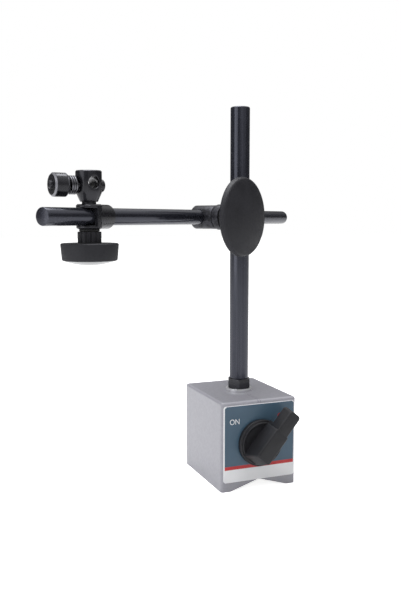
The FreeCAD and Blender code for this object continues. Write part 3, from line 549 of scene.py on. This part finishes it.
post = {"stud": 4.0, "footEdge": 0.3, "topEdge": 0.9, "nutEdge": 0.45, "washerBore": 4.2}
low, high = span("post", standFrame)
nutTop = span("lock_nut", standFrame)[1].z
shape = lathe([(0, low.z, 0), (post["stud"], low.z, 0.3), (post["stud"], nutTop, 0),
               (high.x, nutTop, post["footEdge"]), (high.x, high.z, post["topEdge"]),
               (0, high.z, 0)], 128)
smoothPiece("postRod", shape, standFrame, ["postOxide"], "post", ["post"])
smoothPiece("lockNut", softenedCopy("lock_nut", standFrame, post["nutEdge"], 3), standFrame,
            ["satinBlack"], "post", ["lock_nut"])
low, high = span("foot_washer", standFrame)
shape = lathe([(post["washerBore"], low.z, 0), (high.x, low.z, 0.1), (high.x, high.z, 0.3),
               (post["washerBore"], high.z, 0.1)], closed=True)
smoothPiece("footWasher", shape, standFrame, ["zincBright"], "magnet_base",
            ["foot_washer"])
print("post made")

clamp = {"sleeveEdge": 0.25, "barrelEdge": 0.35, "boltEdge": 0.2, "ringEdge": 0.35, "bore": 4.1}
smoothPiece("clampBarrel", softenedCopy("post_clamp", boltFrame, clamp["barrelEdge"]), boltFrame,
            ["satinBlack"], "post_clamp", ["post_clamp"])
smoothPiece("armSleeve", softenedCopy("arm_sleeve", boltFrame, clamp["sleeveEdge"]), boltFrame,
            ["sleeveSteel"], "arm_clamp", ["arm_sleeve"])
smoothPiece("eyeBolt", softenedCopy("clamp_bolt", boltFrame, clamp["boltEdge"]), boltFrame,
            ["satinBlack"], "arm_clamp", ["clamp_bolt"])
for name, node, look, slotName in (("frictionRing", "friction_ring", "sleeveSteel", "grey_steel"),
                                   ("spacerWasher", "spacer_washer", "dullBlack", "black_washer")):
    low, high = span(node, boltFrame)
    shape = lathe([(clamp["bore"], low.z, 0), (high.x, low.z, clamp["ringEdge"]),
                   (high.x, high.z, clamp["ringEdge"]), (clamp["bore"], high.z, 0)], closed=True)
    smoothPiece(name, shape, boltFrame, [look], "arm_clamp", [node])

# the rim tapers to the front, and the front is a shallow ball
grip = {"hub": 10.0, "hubEdge": 1, "edge": 1.5, "rimFront": 3.0, "rimBack": 1.0, "taper": 0.8,
        "frontDrop": 0.3, "insert": 6.0, "insertEdge": 0.2, "rings": 14}
low, high = span("clamp_knob", boltFrame)
rim = high.z - grip["rimFront"]
rise = high.z - rim
crown = high.x - grip["edge"] - grip["taper"]
ballRadius = (crown ** 2 + rise ** 2) / (2 * rise)
face = []
for i in range(grip["rings"]):
    radius = crown * (1 - i / grip["rings"])
    face.append((radius, high.z - ballRadius + math.sqrt(ballRadius ** 2 - radius ** 2), 0))
shape = lathe([(grip["insert"], low.z, 0), (grip["hub"] - grip["hubEdge"], low.z, 0.4),
               (grip["hub"], low.z + grip["rimBack"], 0.5),
               (high.x, low.z + grip["rimBack"], grip["edge"]),
               (high.x - grip["taper"], rim - grip["frontDrop"], 1.0)] + face
              + [(0, high.z, 0)], 128)
smoothPiece("clampGrip", shape, boltFrame, ["gripPlastic"], "clamp_knob",
            ["clamp_knob"])
smoothPiece("clampInsert", softenedCopy("clamp_knob_insert", boltFrame, grip["insertEdge"]), boltFrame,
            ["brassStrip"], "clamp_knob", ["clamp_knob_insert"])
print("swivel clamp made")

arm = {"leftEdge": 0.45, "rightEdge": 1.5}
low, high = span("arm_rod", armFrame)
shape = lathe([(0, low.z, 0), (high.x, low.z, arm["leftEdge"]), (high.x, high.z, arm["rightEdge"]),
               (0, high.z, 0)], 128)
smoothPiece("armRod", shape, armFrame, ["armOxide"], "arm", ["arm_rod"])

holder = {"snugEdge": 0.3, "tieEdge": 0.2, "headEdge": 0.3, "drawEdge": 0.3, "washerEdge": 0.2,
          "bore": 3.1}
smoothPiece("snugBlock", softenedCopy("snug_sleeve", holderFrame, holder["snugEdge"]), holderFrame,
            ["satinBlack"], "snug", ["snug_sleeve"])
smoothPiece("hookBolt", softenedCopy("tie_bolt", holderFrame, holder["tieEdge"]), holderFrame,
            ["satinBlack"], "snug", ["tie_bolt"])
low, high = span("seat_washer", holderFrame)
shape = lathe([(holder["bore"], low.z, 0), (high.x, low.z, holder["washerEdge"]),
               (high.x, high.z, holder["washerEdge"]), (holder["bore"], high.z, 0)], closed=True)
smoothPiece("seatWasher", shape, holderFrame, ["dullBlack"], "snug", ["seat_washer"])
smoothPiece("holderHead", softenedCopy("holder_head", drawFrame, holder["headEdge"]), drawFrame,
            ["satinBlack"], "holder_head", ["holder_head"])
smoothPiece("drawBolt", softenedCopy("draw_bolt", drawFrame, holder["drawEdge"]), drawFrame,
            ["satinBlack"], "holder_head", ["draw_bolt"])

# fluted hub over a disc whose underside is a shallow ball
cap = {"bore": 4.6, "hub": 6.05, "hubHeight": 5.8, "hubFoot": 0.5, "flutes": 14, "fluteDepth": 0.5,
       "edge": 0.9, "foot": 14.1, "dome": 2.4, "footEdge": 0.8, "rings": 12, "insertEdge": 0.1}
low, high = span("holder_knob", holderFrame)
shoulder = high.z - cap["hubHeight"]
shape = lathe([(cap["bore"], high.z, 0), (cap["hub"], high.z, 0.3),
               (cap["hub"], shoulder - cap["hubFoot"], 0)], cap["flutes"] * 8, cuts={1: 6})
for vertex in shape.verts:
    around = math.atan2(vertex.co.y, vertex.co.x)
    if math.hypot(vertex.co.x, vertex.co.y) > cap["hub"] - 0.4:
        share = 1 - cap["fluteDepth"] / cap["hub"] * max(0.0, math.cos(cap["flutes"] * around)) ** 2
        vertex.co.x *= share
        vertex.co.y *= share
foot = low.z + cap["dome"]
ballRadius = ((cap["foot"] - cap["footEdge"]) ** 2 + cap["dome"] ** 2) / (2 * cap["dome"])
dome = []
for i in range(cap["rings"]):
    radius = (cap["foot"] - cap["footEdge"]) * (1 - i / cap["rings"])
    dome.append((radius, low.z + ballRadius - math.sqrt(ballRadius ** 2 - radius ** 2), 0))
disc = lathe([(cap["bore"], shoulder, 0), (high.x, shoulder, cap["edge"]),
              (cap["foot"], foot, cap["footEdge"])] + dome + [(0, low.z, 0)], 112)
for face in disc.faces:
    if face.calc_center_median().z < foot - 0.05:
        face.material_index = 1
smoothPiece("holderGrip", addShape(shape, disc), holderFrame, ["gripPlastic", "capDome"], "holder_knob",
            ["holder_knob"])
smoothPiece("holderInsert", softenedCopy("holder_knob_insert", holderFrame, cap["insertEdge"]),
            holderFrame, ["brassStrip"], "holder_knob", ["holder_knob_insert"])

# diamond knurl: every second point of a rows by ridges grid is sunk
nut = {"bore": 2.1, "chamfer": 0.8, "rim": 2, "rows": 15, "ridges": 108, "depth": 0.26}
low, high = span("thumb_nut", drawFrame)
shape = lathe([(nut["bore"], low.z, 0), (high.x - nut["chamfer"], low.z, 0.1),
               (high.x, low.z + nut["chamfer"], 0), (high.x, high.z - nut["chamfer"], 0),
               (high.x - nut["chamfer"], high.z, 0.1), (nut["bore"], high.z, 0)],
              nut["ridges"], closed=True, cuts={2: nut["rows"]})
start = low.z + nut["chamfer"]
pitch = (high.z - low.z - 2 * nut["chamfer"]) / (nut["rows"] + 1)
for vertex in shape.verts:
    radius = math.hypot(vertex.co.x, vertex.co.y)
    row = round((vertex.co.z - start) / pitch)
    if radius > high.x - 0.05 and 0 < row <= nut["rows"]:
        ridge = round(math.atan2(vertex.co.y, vertex.co.x) / (2 * math.pi / nut["ridges"]))
        if (ridge + row) % 2:
            vertex.co.x *= 1 - nut["depth"] / radius
            vertex.co.y *= 1 - nut["depth"] / radius
# the outer chamfer faces take the lighter rim colour, a painted highlight
for face in shape.faces:
    middle = face.calc_center_median()
    outer = middle.z > high.z - nut["chamfer"] and math.hypot(middle.x, middle.y) > high.x - nut["rim"]
    face.material_index = 1 if outer else 0
smoothPiece("thumbNut", shape, drawFrame, ["satinBlack", "paintedRimHighlight"], "thumb_nut",
            ["thumb_nut"], angle=18)

spring = {"wire": 0.6, "turns": 3.4, "radius": 4.15, "facets": 12, "steps": 48}
low, high = span("holder_spring", drawFrame)
shape = bmesh.new()
bmesh.ops.create_circle(shape, cap_ends=False, segments=spring["facets"], radius=spring["wire"],
                        matrix=Matrix.Translation((spring["radius"], 0, low.z + spring["wire"]))
                        @ Matrix.Rotation(math.radians(90), 4, "X"))
steps = int(spring["steps"] * spring["turns"])
rise = (high.z - low.z - 2 * spring["wire"]) / steps
turned = bmesh.ops.spin(shape, geom=shape.verts[:] + shape.edges[:], cent=(0, 0, 0), axis=(0, 0, 1),
                        dvec=(0, 0, rise), angle=2 * math.pi * spring["turns"], steps=steps)
lastRing = [part for part in turned["geom_last"] if isinstance(part, bmesh.types.BMEdge)]
for ring in (shape.edges[:spring["facets"]], lastRing):
    bmesh.ops.edgeloop_fill(shape, edges=[edge for edge in ring if edge.is_boundary])
smoothPiece("holderSpring", shape, drawFrame, ["springSteel"], "holder_head",
            ["holder_spring"])
print("stem holder made")

# the floor and the sky are plain white behind the stand, and dimmer as they light it
studio = {"floorSize": 6, "floor": 0.8, "floorGlow": 0.06, "floorSeen": 0.85, "low": 0.08, "high": 0.95,
          "lowHeight": 0.25, "highHeight": 0.9, "seen": 1.0, "tint": (0.955, 0.965, 1.0)}
floorMesh = bpy.data.meshes.new("floor")
shape = bmesh.new()
bmesh.ops.create_grid(shape, x_segments=1, y_segments=1, size=studio["floorSize"])
shape.to_mesh(floorMesh)
shape.free()
floor = bpy.data.objects.new("floor", floorMesh)
scene.collection.objects.link(floor)
floorLook = bpy.data.materials.new("paleFloor")
floorLook.use_nodes = True
tree = floorLook.node_tree
floorShader = tree.nodes["Principled BSDF"]
floorShader.inputs["Base Color"].default_value = (studio["floor"],) * 3 + (1,)
floorShader.inputs["Roughness"].default_value = 0.8
floorShader.inputs["Specular IOR Level"].default_value = 0.0
floorShader.inputs["Emission Color"].default_value = (1, 1, 1, 1)
path = addNode(tree, "ShaderNodeLightPath")
glow = addNode(tree, "ShaderNodeMapRange", {},
               {"To Min": studio["floorGlow"], "To Max": studio["floorSeen"]})
tree.links.new(path.outputs["Is Camera Ray"], glow.inputs["Value"])
tree.links.new(glow.outputs["Result"], floorShader.inputs["Emission Strength"])
floorMesh.materials.append(floorLook)

world = bpy.data.worlds.new("studio")
world.use_nodes = True
tree = world.node_tree
sky = tree.nodes["Background"]
sky.inputs["Color"].default_value = (1, 1, 1, 1)
path = addNode(tree, "ShaderNodeLightPath")
way = addNode(tree, "ShaderNodeTexCoord")
split = addNode(tree, "ShaderNodeSeparateXYZ")
tree.links.new(way.outputs["Object"], split.inputs[0])
shade = ranged(tree, split.outputs["Z"], studio["lowHeight"], studio["highHeight"],
               studio["low"], studio["high"])
seen = addNode(tree, "ShaderNodeMix", {"data_type": "FLOAT"})
tree.links.new(path.outputs["Is Camera Ray"], seen.inputs[0])
tree.links.new(shade, seen.inputs[2])
seen.inputs[3].default_value = studio["seen"]
tree.links.new(seen.outputs[0], sky.inputs["Strength"])
scene.world = world

# each lamp's place, size, watts and aim
lights = {
    "topBox": ((-0.1, 0.1, 1.0), (1.0, 0.5), 7.0, (0, 0, 0.1)),
    "leftBox": ((-1.0, -0.25, 0.4), (0.7, 0.9), 2.6, (0, 0, 0.14)),
    "frontBox": ((0.25, -1.1, 0.6), (1.4, 0.9), 1.2, (0, 0, 0.12)),
}
for name, (spot, size, watts, aim) in lights.items():
    lamp = bpy.data.lights.new(name, "AREA")
    lamp.shape = "RECTANGLE"
    lamp.size, lamp.size_y = size
    lamp.energy = watts
    lamp.color = studio["tint"]
    lampObject = bpy.data.objects.new(name, lamp)
    lampObject.location = spot
    lampObject.rotation_euler = (Vector(aim) - Vector(spot)).to_track_quat("-Z", "Y").to_euler()
    scene.collection.objects.link(lampObject)

view = {"spot": (-0.1968, -0.4248, 0.1638), "turn": (83.74, 0, -21.85), "lens": 44.37, "sensor": 36}
cameraData = bpy.data.cameras.new("camera")
cameraData.lens = view["lens"]
cameraData.sensor_width = view["sensor"]
camera = bpy.data.objects.new("camera", cameraData)
camera.location = view["spot"]
camera.rotation_euler = [math.radians(angle) for angle in view["turn"]]
scene.collection.objects.link(camera)
scene.camera = camera
scene.view_settings.view_transform = "Standard"
print("stage set")
